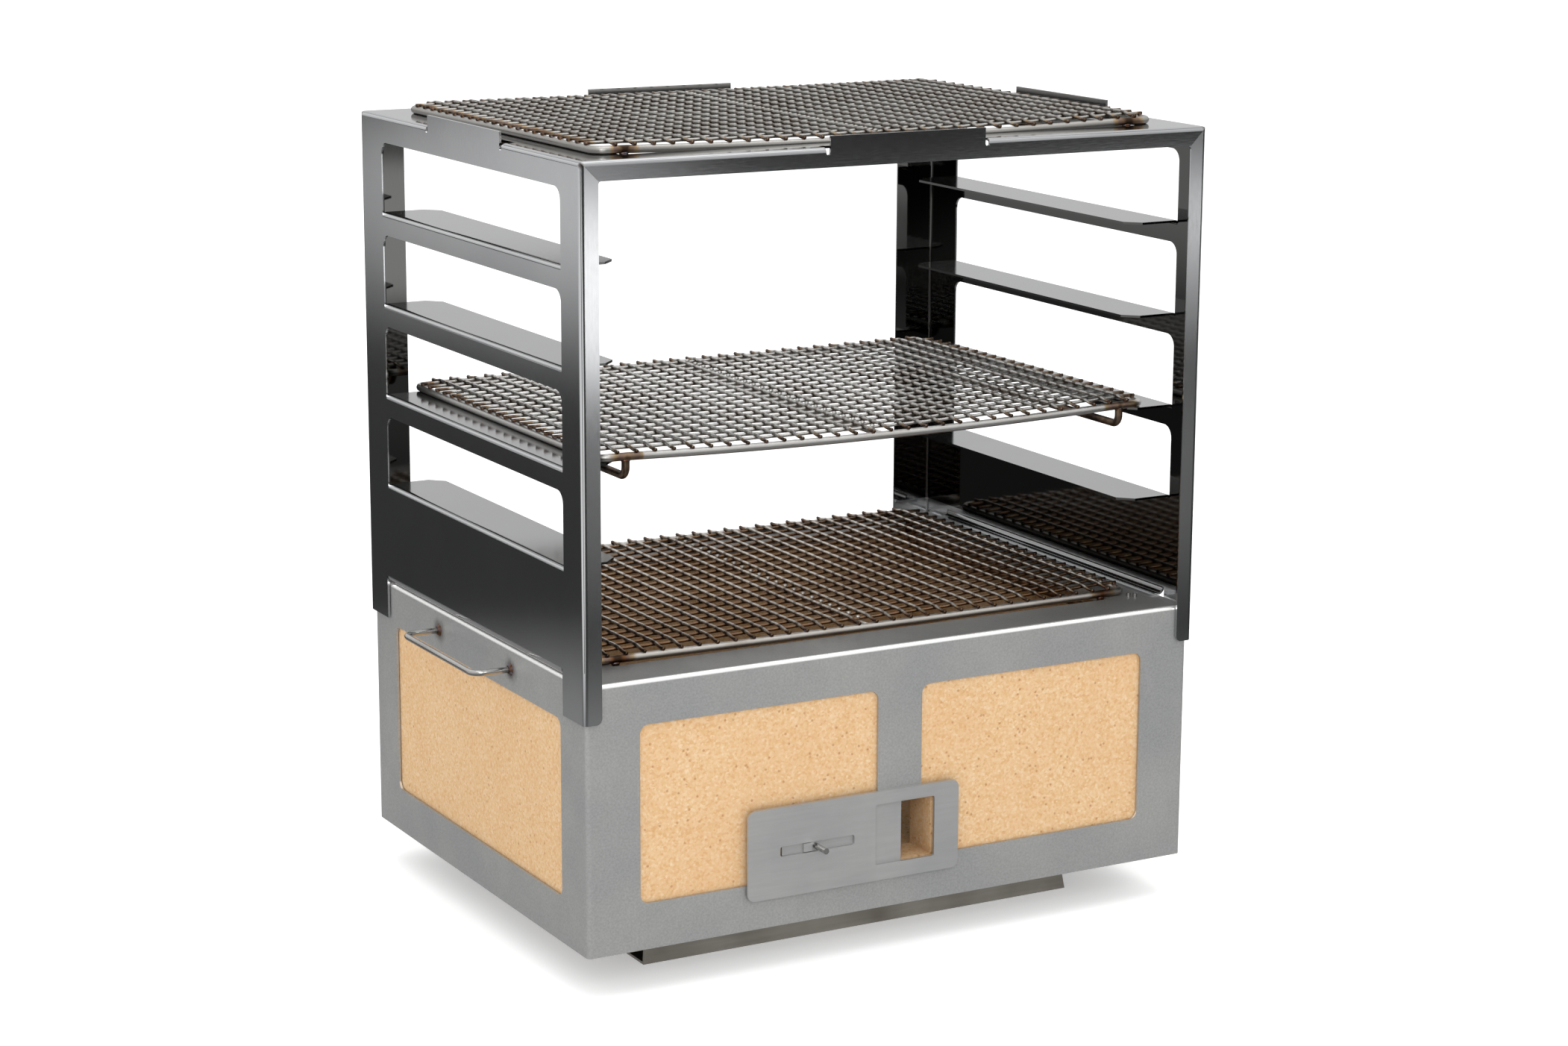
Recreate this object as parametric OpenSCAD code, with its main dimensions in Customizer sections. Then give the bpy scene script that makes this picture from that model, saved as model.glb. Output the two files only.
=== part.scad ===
// Charcoal box grill with a lift-off rack of shelf ledges and three wire nets.
// Origin: centre of the footprint on the table. +X right, +Y back, +Z up. Millimetres.

/* [Charcoal box] */
// Width of the box across the front
box_w = 440; // [400:5:480]
// Depth of the box from front to back
box_d = 330; // [310:2:360]
// Height of the box without its feet
box_h = 172; // [160:1:200]
// Height of the feet under the box
foot_h = 28.5; // [20:0.5:40]
// Thickness of every folded sheet
sheet = 1.5; // [1:0.1:2]
// Outside radius of the folds
fold_r = 3; // [2.5:0.1:4]
// Width of the lip folded inwards round the top
lip_w = 36; // [34:0.5:38]
// Width of the frame left round each window
window_rim = 36; // [30:1:44]
// Thickness of the insulating boards
board_t = 25; // [20:1:28]

/* [Rack] */
// Height of the rack's top face above the bottom of the box
rack_rise = 487; // [460:1:520]
// How far the rack's legs reach down over the box
leg_drop = 24; // [20:1:28]
// Gap between the rack and the box on each side
rack_gap = 0.7; // [0.5:0.1:1.5]
// Height of the lowest ledge above the bottom of the box
ledge_base = 241.2; // [236:0.1:245]
// Distance from one ledge to the next
ledge_pitch = 60.8; // [56:0.1:62]
// How far a ledge reaches in from the outer face
ledge_w = 38; // [34:0.5:40]
// Height of the window above each ledge
slot_h = 46; // [38:1:48]

/* [Wire nets] */
// Length of a net over its frame
net_w = 401; // [396:1:410]
// Depth of a net over its frame
net_d = 282; // [278:1:288]
// Diameter of the frame and runner rod
rod_d = 5; // [4:0.5:5]
// Diameter of the mesh wire
wire_d = 2; // [1.5:0.1:2]
// Drop of the runners below the frame
runner_drop = 12.5; // [11:0.5:13]

/* [Air vent] */
// Width of the vent's cover plate
cover_w = 153.5; // [150:0.5:158]
// Height of the vent's cover plate
cover_h = 58.5; // [57:0.5:62]
// Width of the air opening
air_w = 43.5; // [40:0.5:46]
// Height of the air opening
air_h = 40; // [36:0.5:42]

/* [Handles] */
// Distance between the ends of a handle
handle_w = 112; // [90:1:120]
// How far a handle stands out from the box
handle_out = 27; // [24:1:35]
// Diameter of the handle rod
handle_d = 4; // [3:0.5:5]

/* [Hidden] */
$fn = 48;

eps = 0.02;                        // welded pieces sit this far apart
cut = 20;                          // how far a cutting tool runs past a face
fit = 0.5;                         // clearance round boards and the floor pan
box_z = foot_h;                    // bottom of the box
box_top = box_z + box_h;
in_w = box_w - 2 * sheet;          // inside of the folded walls
in_d = box_d - 2 * sheet;
hem_h = 6;                         // fold hanging from the lip's inner edge
mouth_w = box_w - 2 * lip_w;       // opening between the lips
mouth_d = box_d - 2 * lip_w;
window_low = 29.5;                 // window edges above the bottom of the box
window_high = 143.5;
window_r = 6;
pillar_w = 32;                     // sheet left between the two front windows
pan_rim = 12;
floor_board_low = box_z + sheet + fit;
board_low = floor_board_low + board_t;
board_high = box_top - sheet - fit;

foot_set = 46.3;                   // the feet stand this far in from the front and back
foot_long = 318.3;                 // length of a foot along the table
foot_deep = 32;                    // depth of a foot at the table
foot_lean = 4;                     // the foot's walls and ends lean in by this much

handle_z = box_z + 157.3;
handle_r = 8;                      // bend of the handle rod

front = -box_d / 2;
guide_t = 1.6;                     // space between the box and the vent cover
cover_x = -111;                    // left edge of the vent cover
cover_z = box_z + 19.5;
cover_r = 5;
air_x = -19;                       // left edge of the air opening
air_z = box_z + 29.7;
guide_h = 4.5;
shutter_t = 1.2;
shutter_left = -86;
shutter_right = 0.6;
thumb_x = -62;
thumb_z = box_z + 49.2;
thumb_d = 4;
thumb_long = 14;
slot_left = -88;
slot_right = -34.5;
slot_tall = 6.6;
shutter_play = 0.5;
shutter_gap = 0.2;                 // air on both faces of the shutter

// half the difference between how far the pin and the back of the rack reach out
set_back = (shutter_gap + shutter_t + thumb_long - rack_gap - sheet) / 2;

grate_w = 360;
grate_d = 250;
grate_rod = 6;
grate_bar = 5;
grate_z = board_low + 40;
grate_bars = 22;

rack_w = box_w + 2 * (rack_gap + sheet);
rack_d = box_d + 2 * (rack_gap + sheet);
rack_top = box_z + rack_rise;
rack_low = box_top - leg_drop;
front_flange = 12;                 // flanges down the rack's front edges and along its top
back_flange = 30;
leg_w = 30;
leg_corner = 4;                    // rounding of a front flange's lower inner corner
rest_r = 5.5;                      // bend under which the rack sits on the lip
rest_w = 12;
side_slot_r = 8;
slot_y0 = -rack_d / 2 + 27;        // near and far ends of the side windows
slot_y1 = rack_d / 2 - 35.2;
ledge_chamfer = 9;
ledges = 4;
tab_long = 110;
tab_rise = 7;
tab_notch = 3;
top_mouth_d = 286;

net_corner = 8;
rod_x = (net_w - rod_d) / 2;
rod_y = (net_d - rod_d) / 2;
runner_x = 179.5;
runner_bend = 6;
runner_back = 108;                 // a runner's rear leg, from the net's centre
cross_wires = 22;                  // wires across the net, front to back
long_wires = 30;                   // wires running front to back
stiffener_d = 4;
wire_over = 1.5;                   // the mesh wires end this far past the frame's centre line
pin_d = 3;                         // stop pins for the lower net
pin_high = 2.5;
lower_z = box_top + rod_d / 2 + eps;
lower_y = 15.5;                    // the lower net sits this far back
middle_z = box_z + ledge_base + ledge_pitch + rod_d / 2 + eps;
top_z = rack_top + rod_d / 2 + eps;

steel = "#8f9294";
dark_steel = "#5d6062";
board = "#dcb583";
wire = "#8a857c";

// ---------- shapes used again ----------

// Everything moved back so that the origin is under the middle of the overall depth
module centred() translate([0, set_back, 0]) children();

// Rectangle with rounded corners, centred
module round_rect(w, d, r) {
    square([w - 2 * r, d], center = true);
    square([w, d - 2 * r], center = true);
    for (sx = [-1, 1], sy = [-1, 1])
        translate([sx * (w / 2 - r), sy * (d / 2 - r)]) circle(r);
}

// Side view of a box whose two top edges are folded over
module folded_side(w, z0, z1, r) {
    translate([-w / 2, z0]) square([w, z1 - z0 - r]);
    translate([-w / 2 + r, z0]) square([w - 2 * r, z1 - z0]);
    for (s = [-1, 1]) translate([s * (w / 2 - r), z1 - r]) circle(r);
}

// Solid box with folded vertical and top edges and a square bottom
module folded_box(w, d, z0, z1, r) {
    intersection() {
        translate([0, 0, z0]) linear_extrude(z1 - z0) round_rect(w, d, r);
        rotate([90, 0, 0]) linear_extrude(d, center = true) folded_side(w, z0, z1, r);
        rotate([90, 0, 90]) linear_extrude(w, center = true) folded_side(d, z0, z1, r);
    }
}

// Plain box from its lowest corner to its highest corner
module block(a, b) {
    translate(a) cube(b - a);
}

// Round-cornered hole through the front or back, from x0,z0 to x1,z1 at depth y
module front_hole(x0, z0, x1, z1, y, r, thick) {
    translate([(x0 + x1) / 2, y, (z0 + z1) / 2]) rotate([90, 0, 0])
        linear_extrude(thick, center = true) round_rect(x1 - x0, z1 - z0, r);
}

// Round rod between two heights, along X, Y or Z
module rod_along_x(x0, x1, y, z, d) {
    translate([x0, y, z]) rotate([0, 90, 0]) cylinder(d = d, h = x1 - x0);
}

module rod_along_y(y0, y1, x, z, d) {
    translate([x, y1, z]) rotate([90, 0, 0]) cylinder(d = d, h = y1 - y0);
}

module rod_along_z(z0, z1, x, y, d) {
    translate([x, y, z0]) cylinder(d = d, h = z1 - z0);
}

// Quarter ring of rod in the XY plane, from +X towards +Y
module rod_bend(r, d) {
    rotate_extrude(angle = 90) translate([r, 0]) circle(d = d);
}

// Closed rectangle of rod with bent corners, lying flat
module rod_loop(hx, hy, r, d) {
    for (s = [-1, 1]) {
        rod_along_x(-hx + r, hx - r, s * hy, 0, d);
        rod_along_y(-hy + r, hy - r, s * hx, 0, d);
    }
    for (i = [0:3])
        translate([(i == 0 || i == 3 ? 1 : -1) * (hx - r), (i < 2 ? 1 : -1) * (hy - r), 0])
            rotate([0, 0, 90 * i]) rod_bend(r, d);
}

// ---------- charcoal box ----------

// The two windows in the front or back wall
module wall_windows(y) {
    for (s = [-1, 1])
        front_hole(s > 0 ? pillar_w / 2 : -box_w / 2 + window_rim, box_z + window_low,
            s > 0 ? box_w / 2 - window_rim : -pillar_w / 2, box_z + window_high, y, window_r, cut);
}

// Folded outer case with windows, top lips and the air hole behind the vent
module casing() {
    color(steel) centred() {
        difference() {
            folded_box(box_w, box_d, box_z, box_top, fold_r);
            folded_box(in_w, in_d, box_z - 1, box_top - sheet, fold_r - sheet);
            translate([0, 0, box_top - cut / 2])
                linear_extrude(cut) square([mouth_w, mouth_d], center = true);
            wall_windows(front);
            wall_windows(-front);
            for (s = [-1, 1])
                translate([s * box_w / 2, 0, box_z + (window_low + window_high) / 2])
                    rotate([90, 0, 90]) linear_extrude(cut, center = true)
                        round_rect(box_d - 2 * window_rim, window_high - window_low, window_r);
            front_hole(air_x - 2, air_z - 2, air_x + air_w + 2, air_z + air_h + 2, front, 1, cut);
        }
        translate([0, 0, box_top - hem_h]) linear_extrude(hem_h - sheet) difference() {
            square([mouth_w + 2 * sheet, mouth_d + 2 * sheet], center = true);
            square([mouth_w, mouth_d], center = true);
        }
    }
}

// Pan welded in flush with the bottom edges, with a rim turned up all round
module casing_floor() {
    pan_w = in_w - 2 * fit;
    pan_d = in_d - 2 * fit;
    color(dark_steel) centred() translate([0, 0, box_z]) difference() {
        linear_extrude(pan_rim) square([pan_w, pan_d], center = true);
        translate([0, 0, sheet]) linear_extrude(pan_rim)
            square([pan_w - 2 * sheet, pan_d - 2 * sheet], center = true);
    }
}

// Outline with a flat base and sides that lean in towards the top
module leaning(base, high, lean) {
    polygon([[-base / 2, 0], [base / 2, 0], [base / 2 - lean, high], [-base / 2 + lean, high]]);
}

// Folded hollow foot rail with leaning walls and slanting open ends; side is -1 at the front
module foot_rail(side) {
    hollow = foot_deep - 2 * sheet * 1.1;
    y = side * (box_d / 2 - foot_set - foot_deep / 2);
    color(dark_steel) centred() translate([0, y, 0]) intersection() {
        rotate([90, 0, 90]) linear_extrude(foot_long, center = true) difference() {
            leaning(foot_deep, foot_h, foot_lean);
            translate([0, sheet]) leaning(hollow, foot_h - 2 * sheet, foot_lean);
        }
        rotate([90, 0, 0]) linear_extrude(foot_deep + 2, center = true) leaning(foot_long, foot_h, foot_lean);
    }
}

module foot_rail_front() foot_rail(-1);

module foot_rail_back() foot_rail(1);

// ---------- insulating boards ----------

module liner_floor() {
    w = in_w - 2 * (2 * fit + sheet);
    d = in_d - 2 * (2 * fit + sheet);
    color(board) centred() block([-w / 2, -d / 2, floor_board_low], [w / 2, d / 2, board_low]);
}

// Board behind the left wall (side -1) or the right wall (side 1)
module side_board(side) {
    x = in_w / 2 - fit;
    color(board) centred() translate([side * (x - board_t / 2), 0, (board_low + board_high) / 2])
        cube([board_t, in_d - 2 * fit, board_high - board_low], center = true);
}

module liner_left() side_board(-1);

module liner_right() side_board(1);

// Board behind the front wall (side -1) or the back wall (side 1)
module end_board(side) {
    w = in_w - 4 * fit - 2 * board_t;
    translate([0, side * (in_d / 2 - fit - board_t / 2), (board_low + board_high) / 2])
        cube([w, board_t, board_high - board_low], center = true);
}

// The front board has the air duct through it
module liner_front() {
    color(board) centred() difference() {
        end_board(-1);
        block([air_x, front - cut, air_z], [air_x + air_w, front + board_t + cut, air_z + air_h]);
    }
}

module liner_back() color(board) centred() end_board(1);

// ---------- handles ----------

// Bent rod handle; side is -1 on the left
module handle(side) {
    hy = handle_w / 2;
    out = handle_out - handle_d / 2;
    color(steel) centred() mirror([side < 0 ? 1 : 0, 0, 0]) translate([box_w / 2, 0, handle_z]) {
        for (s = [-1, 1]) rod_along_x(0, out - handle_r, s * hy, 0, handle_d);
        rod_along_y(-hy + handle_r, hy - handle_r, out, 0, handle_d);
        translate([out - handle_r, hy - handle_r, 0]) rod_bend(handle_r, handle_d);
        translate([out - handle_r, -hy + handle_r, 0]) rotate([0, 0, -90]) rod_bend(handle_r, handle_d);
    }
}

module handle_left() handle(-1);

module handle_right() handle(1);

// Weld beads round the ends of both handles
module handle_welds() {
    bead_h = 1.6;
    color(dark_steel) centred() for (side = [-1, 1], s = [-1, 1])
        translate([side * box_w / 2, s * handle_w / 2, handle_z]) rotate([0, side * 90, 0]) difference() {
            cylinder(r1 = handle_d, r2 = handle_d * 0.65, h = bead_h);
            translate([0, 0, -1]) cylinder(d = handle_d + 2 * eps, h = bead_h + 2);
        }
}

// ---------- air vent ----------

module vent_guides() {
    x0 = cover_x + cover_r;
    x1 = cover_x + cover_w - cover_r;
    for (z = [cover_z, cover_z + cover_h - guide_h])
        color(steel) centred() block([x0, front - guide_t, z], [x1, front, z + guide_h]);
}

module vent_cover() {
    y = front - guide_t - sheet / 2;
    color(steel) centred() difference() {
        front_hole(cover_x, cover_z, cover_x + cover_w, cover_z + cover_h, y, cover_r, sheet);
        front_hole(air_x, air_z, air_x + air_w, air_z + air_h, y, 1.5, cut);
        front_hole(slot_left, thumb_z - slot_tall / 2, slot_right, thumb_z + slot_tall / 2, y, 1.5, cut);
    }
}

// Sliding plate with the lug that runs in the slot
module vent_shutter() {
    z0 = cover_z + guide_h + shutter_play;
    z1 = cover_z + cover_h - guide_h - shutter_play;
    face = front - shutter_gap - shutter_t;
    lug = slot_tall / 2 - shutter_play;
    color(steel) centred() {
        block([shutter_left, face, z0], [shutter_right, front - shutter_gap, z1]);
        block([thumb_x - 9, face - 1.4, thumb_z - lug], [thumb_x - 3, face, thumb_z + lug]);
    }
}

module vent_pin() {
    face = front - shutter_gap - shutter_t;
    color(steel) centred() rod_along_y(face - thumb_long, face, thumb_x, thumb_z, thumb_d);
}

// ---------- charcoal grate ----------

module charcoal_grate_frame() {
    color(dark_steel) centred() translate([0, 0, grate_z])
        rod_loop((grate_w - grate_rod) / 2, (grate_d - grate_rod) / 2, 10, grate_rod);
}

module charcoal_grate_bars() {
    step = (grate_w - grate_rod) / (grate_bars + 1);
    hy = grate_d / 2 - grate_rod / 2;
    for (i = [1:grate_bars])
        color(dark_steel) centred() rod_along_y(-hy, hy, -grate_w / 2 + grate_rod / 2 + i * step,
            grate_z + (grate_rod + grate_bar) / 2 + eps, grate_bar);
}

module charcoal_grate_legs() {
    for (sx = [-1, 1], sy = [-1, 1])
        color(dark_steel) centred() rod_along_z(board_low, grate_z - grate_rod / 2 - eps,
            sx * (grate_w / 2 - 60), sy * (grate_d - grate_rod) / 2, grate_rod);
}

// ---------- rack ----------

// Relief cut for an upstand, centred on the rack's edge in local axes: Y outwards, X along the edge
module tab_relief() {
    hx = tab_long / 2 + tab_notch;
    block([-hx, -tab_rise - fold_r, -fold_r], [hx, cut, cut]);
    for (s = [-1, 1]) translate([s * (hx - tab_notch / 2), cut, -fold_r])
        rotate([90, 0, 0]) cylinder(d = tab_notch, h = 2 * cut - 4);
}

// Upstand in line with the wall below it
module tab() {
    block([-tab_long / 2, -sheet, -fold_r - 1], [tab_long / 2, 0, tab_rise]);
}

// Place a shape on the rack's edge: turn 0 front, 1 right, 2 back, 3 left
module on_edge(turn) {
    half = turn % 2 == 0 ? rack_d / 2 : rack_w / 2;
    rotate([0, 0, turn * 90]) translate([0, -half, rack_top]) mirror([0, 1, 0]) children();
}

// What is cut off the lower inner corner of a front flange
module leg_rounding() {
    linear_extrude(cut, center = true) difference() {
        translate([-1, -1]) square(leg_corner + 1);
        translate([leg_corner, leg_corner]) circle(leg_corner);
    }
}

// Folded shell of the whole rack with every opening cut
module rack_shell() {
    difference() {
        folded_box(rack_w, rack_d, rack_low, rack_top, fold_r);
        folded_box(rack_w - 2 * sheet, rack_d - 2 * sheet, rack_low - 1, rack_top - sheet, fold_r - sheet);
        translate([0, 0, rack_top - cut / 2])
            linear_extrude(cut) square([rack_w - 2 * ledge_w, top_mouth_d], center = true);
        front_hole(-rack_w / 2 + front_flange, rack_low - cut, rack_w / 2 - front_flange,
            rack_top - front_flange, -rack_d / 2, 2, cut);
        for (s = [-1, 1]) mirror([s < 0 ? 1 : 0, 0, 0])
            translate([rack_w / 2 - front_flange, -rack_d / 2, rack_low]) rotate([90, 0, 0]) leg_rounding();
        front_hole(-rack_w / 2 + back_flange, rack_low - cut, rack_w / 2 - back_flange,
            rack_top - front_flange, rack_d / 2, 2, cut);
        for (t = [0:3]) on_edge(t) tab_relief();
    }
}

// Everything on the rack's left (side -1) or right (side 1) of the two mitred corners
module side_region(side) {
    w = rack_w / 2;
    f = front_flange;
    mirror([side < 0 ? 1 : 0, 0, 0]) rotate([90, 0, 0]) linear_extrude(rack_d + 2 * cut, center = true)
        polygon([[w + 1, rack_top + 1], [w - f, rack_top - f], [w - back_flange - 8, rack_top - f],
            [w - back_flange - 8, rack_low - 1], [w + 1, rack_low - 1]]);
}

// Outline of a sheet folded from the right wall to lie flat, reaching w inwards, its flat top or
// bottom at z: up = 1 folds over above the wall, up = -1 folds under below it
module inward_fold(w, z, r, up) {
    translate([rack_w / 2 - r, z - up * r]) intersection() {
        difference() {
            circle(r);
            circle(r - sheet);
        }
        translate([0, up > 0 ? 0 : -r]) square(r);
    }
    translate([rack_w / 2 - w, up > 0 ? z - sheet : z]) square([w - r, sheet]);
}

// Ledge folded inwards at the foot of a side window, on the right side
module ledge(z) {
    x1 = rack_w / 2 - ledge_w;
    c = ledge_chamfer;
    intersection() {
        rotate([90, 0, 0]) linear_extrude(rack_d, center = true) inward_fold(ledge_w, z, fold_r, 1);
        translate([0, 0, z - cut]) linear_extrude(2 * cut)
            polygon([[rack_w, slot_y0], [rack_w, slot_y1], [x1 + c, slot_y1], [x1, slot_y1 - c],
                [x1, slot_y0 + c], [x1 + c, slot_y0]]);
    }
}

// Window above a ledge with its two top corners rounded, cut down to the ledge's fold
module side_window(z) {
    w = slot_y1 - slot_y0;
    r = side_slot_r;
    middle = (slot_y0 + slot_y1) / 2;
    translate([rack_w / 2, middle, z]) rotate([90, 0, 90]) linear_extrude(cut, center = true) {
        translate([-w / 2, -fold_r]) square([w, slot_h - r + fold_r]);
        translate([-w / 2 + r, 0]) square([w - 2 * r, slot_h]);
        for (s = [-1, 1]) translate([s * (w / 2 - r), slot_h - r]) circle(r);
    }
}

// Fold at the foot of the wall that sits on the lip of the box, on the right side
module rest_fold() {
    rotate([90, 0, 0]) linear_extrude(rack_d - 2 * leg_w - 3, center = true)
        inward_fold(rest_w, box_top + eps, rest_r, -1);
}

// Side wall with flanges, windows, ledges and its upstand
module rack_side(side) {
    hy = rack_d / 2 - leg_w;
    intersection() {
        rack_shell();
        side_region(side);
        difference() {
            block([-rack_w, -rack_d, rack_low - 1], [rack_w, rack_d, rack_top + 1]);
            mirror([side < 0 ? 1 : 0, 0, 0]) {
                for (i = [0:ledges - 1]) side_window(box_z + ledge_base + i * ledge_pitch);
                block([rack_w / 2 - cut / 2, -hy, rack_low - cut],
                    [rack_w / 2 + cut, hy, box_top + rest_r + eps]);
            }
        }
    }
    mirror([side < 0 ? 1 : 0, 0, 0]) {
        for (i = [0:ledges - 1]) ledge(box_z + ledge_base + i * ledge_pitch);
        rest_fold();
    }
    on_edge(side > 0 ? 1 : 3) tab();
}

module rack_left_panel() color(steel) centred() rack_side(-1);

module rack_right_panel() color(steel) centred() rack_side(1);

// Top frame with its front and back drop flanges and upstands
module rack_top_panel() {
    color(steel) centred() {
        difference() {
            rack_shell();
            side_region(-1);
            side_region(1);
            block([-rack_w, -rack_d, rack_low - cut], [rack_w, rack_d, rack_top - front_flange]);
        }
        for (t = [0, 2]) on_edge(t) tab();
    }
}

// ---------- wire nets, drawn round their own centre with the frame rod at z = 0 ----------

cross_z = (rod_d + wire_d) / 2 + eps;
long_z = cross_z + wire_d + eps;

module net_frame() {
    color(wire) centred() rod_loop(rod_x, rod_y, net_corner, rod_d);
}

module net_long_wires() {
    step = 2 * rod_x / (long_wires + 1);
    for (i = [1:long_wires]) color(wire) centred()
        rod_along_y(-rod_y - wire_over, rod_y + wire_over, -rod_x + i * step, long_z, wire_d);
}

module net_cross_wires() {
    step = 2 * rod_y / (cross_wires + 1);
    for (i = [1:cross_wires]) color(wire) centred()
        rod_along_x(-rod_x - wire_over, rod_x + wire_over, -rod_y + i * step, cross_z, wire_d);
}

// Two bent rods under the net that keep it from sliding sideways
module net_runners() {
    r = runner_bend;
    low = -runner_drop;
    head = -rod_d / 2 - eps;
    for (s = [-1, 1]) color(wire) centred() translate([s * runner_x, 0, 0]) {
        rod_along_z(low + r, head, 0, -rod_y, rod_d);
        rod_along_z(low + r, cross_z - wire_d / 2 - eps, 0, runner_back, rod_d);
        rod_along_y(-rod_y + r, runner_back - r, 0, low, rod_d);
        translate([0, -rod_y + r, low + r]) rotate([0, 90, 0]) rotate([0, 0, -90]) rod_bend(r, rod_d);
        translate([0, runner_back - r, low + r]) rotate([0, 90, 0]) rod_bend(r, rod_d);
    }
}

// Rod under the middle of the mesh, from the front bar to the back bar
module net_stiffener() {
    hy = rod_y - rod_d / 2 - eps;
    color(wire) centred() rod_along_y(-hy, hy, 0, cross_z - (wire_d + stiffener_d) / 2 - eps, stiffener_d);
}

module lower_place() translate([0, lower_y, lower_z]) children();

module middle_place() translate([0, 0, middle_z]) children();

module top_place() translate([0, 0, top_z]) children();

module lower_net_frame() lower_place() net_frame();

module lower_net_long_wires() lower_place() net_long_wires();

module lower_net_cross_wires() lower_place() net_cross_wires();

module lower_net_runners() lower_place() net_runners();

module lower_net_stiffener() lower_place() net_stiffener();

module middle_net_frame() middle_place() net_frame();

module middle_net_long_wires() middle_place() net_long_wires();

module middle_net_cross_wires() middle_place() net_cross_wires();

module middle_net_runners() middle_place() net_runners();

module middle_net_stiffener() middle_place() net_stiffener();

module top_net_frame() top_place() net_frame();

module top_net_long_wires() top_place() net_long_wires();

module top_net_cross_wires() top_place() net_cross_wires();

module top_net_runners() top_place() net_runners();

module top_net_stiffener() top_place() net_stiffener();

// Pairs of short pins on the lip in front of the lower net's corners
module net_stop_pins() {
    ahead = lower_y - net_d / 2;
    for (side = [-1, 1]) color(steel) centred() {
        rod_along_z(box_top, box_top + pin_high, side * 197.5, ahead - 3.9, pin_d);
        rod_along_z(box_top, box_top + pin_high, side * 201, ahead - 6.5, pin_d);
    }
}

casing();
casing_floor();
foot_rail_front();
foot_rail_back();
liner_floor();
liner_front();
liner_back();
liner_left();
liner_right();
handle_left();
handle_right();
handle_welds();
net_stop_pins();
vent_guides();
vent_cover();
vent_shutter();
vent_pin();
charcoal_grate_frame();
charcoal_grate_bars();
charcoal_grate_legs();
rack_left_panel();
rack_right_panel();
rack_top_panel();
lower_net_frame();
lower_net_long_wires();
lower_net_cross_wires();
lower_net_runners();
lower_net_stiffener();
middle_net_frame();
middle_net_long_wires();
middle_net_cross_wires();
middle_net_runners();
middle_net_stiffener();
top_net_frame();
top_net_long_wires();
top_net_cross_wires();
top_net_runners();
top_net_stiffener();
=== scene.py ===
"""Looks for a charcoal box grill with a lift-off rack: satin steel sheet, welded wire nets,
vermiculite boards. Everything is in metres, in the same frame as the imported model."""
import math

import bpy
import numpy as np
from mathutils import Matrix, Vector


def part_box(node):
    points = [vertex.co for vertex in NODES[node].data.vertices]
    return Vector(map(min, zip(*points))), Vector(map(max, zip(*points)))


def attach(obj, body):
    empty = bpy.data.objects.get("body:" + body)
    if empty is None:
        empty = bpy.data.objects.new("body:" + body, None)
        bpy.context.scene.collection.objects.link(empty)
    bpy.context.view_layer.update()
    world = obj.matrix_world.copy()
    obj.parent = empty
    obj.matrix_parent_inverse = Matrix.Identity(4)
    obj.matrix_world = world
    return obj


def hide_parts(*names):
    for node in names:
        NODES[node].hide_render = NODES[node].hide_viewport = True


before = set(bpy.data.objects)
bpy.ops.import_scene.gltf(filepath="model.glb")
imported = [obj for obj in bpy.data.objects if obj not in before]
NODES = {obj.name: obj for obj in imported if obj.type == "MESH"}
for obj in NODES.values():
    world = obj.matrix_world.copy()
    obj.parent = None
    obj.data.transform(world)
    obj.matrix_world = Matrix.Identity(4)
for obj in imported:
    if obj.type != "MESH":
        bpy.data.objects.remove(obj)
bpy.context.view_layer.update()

MM = 0.001
rng = np.random.default_rng(7)


def box(node):
    """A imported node's lowest and highest corners as arrays."""
    low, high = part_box(node)
    return np.array(low), np.array(high)


# ---------------------------------------------------------------- colours and nodes

def linear(code):
    """sRGB hex to linear RGBA: c/12.92 up to 0.04045, else ((c + 0.055) / 1.055) ** 2.4."""
    rgb = [int(code[i:i + 2], 16) / 255 for i in (1, 3, 5)]
    return [c / 12.92 if c <= 0.04045 else ((c + 0.055) / 1.055) ** 2.4 for c in rgb] + [1.0]


def feed(tree, node, inputs):
    """Gives a node its inputs: a socket is linked, a hex colour is made linear, a number is set."""
    for key, value in inputs.items():
        if isinstance(value, bpy.types.NodeSocket):
            tree.links.new(value, node.inputs[key])
        else:
            node.inputs[key].default_value = linear(value) if isinstance(value, str) else value


def add(tree, kind, inputs, out=0, stops=(), **settings):
    """Adds one shader node with its settings, inputs and colour stops, and returns an output."""
    node = tree.nodes.new("ShaderNode" + kind)
    for name, value in settings.items():
        setattr(node, name, value)
    for number, (position, code) in enumerate(stops):
        band = node.color_ramp.elements
        stop = band[number] if number < len(band) else band.new(position)
        stop.position = position
        stop.color = linear(code)
    feed(tree, node, inputs)
    return node.outputs[out]


def begin(name):
    """A new material: its tree, its surface shader and the place on the piece in metres."""
    material = bpy.data.materials.new(name)
    material.use_nodes = True
    tree = material.node_tree
    return material, tree, tree.nodes["Principled BSDF"], add(tree, "TexCoord", {}, "Object")


# ---------------------------------------------------------------- materials

SPREAD = {1: 0.3, 2: 0.7}      # a noise texture keeps mostly between these two values
HEATED = "#453a31"             # sheet browned by a weld
# level faces high up on the box are darkened towards this colour, by this share
TOP_DARK, TOP_DARK_SHARE = "#4d4a46", 0.55


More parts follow.
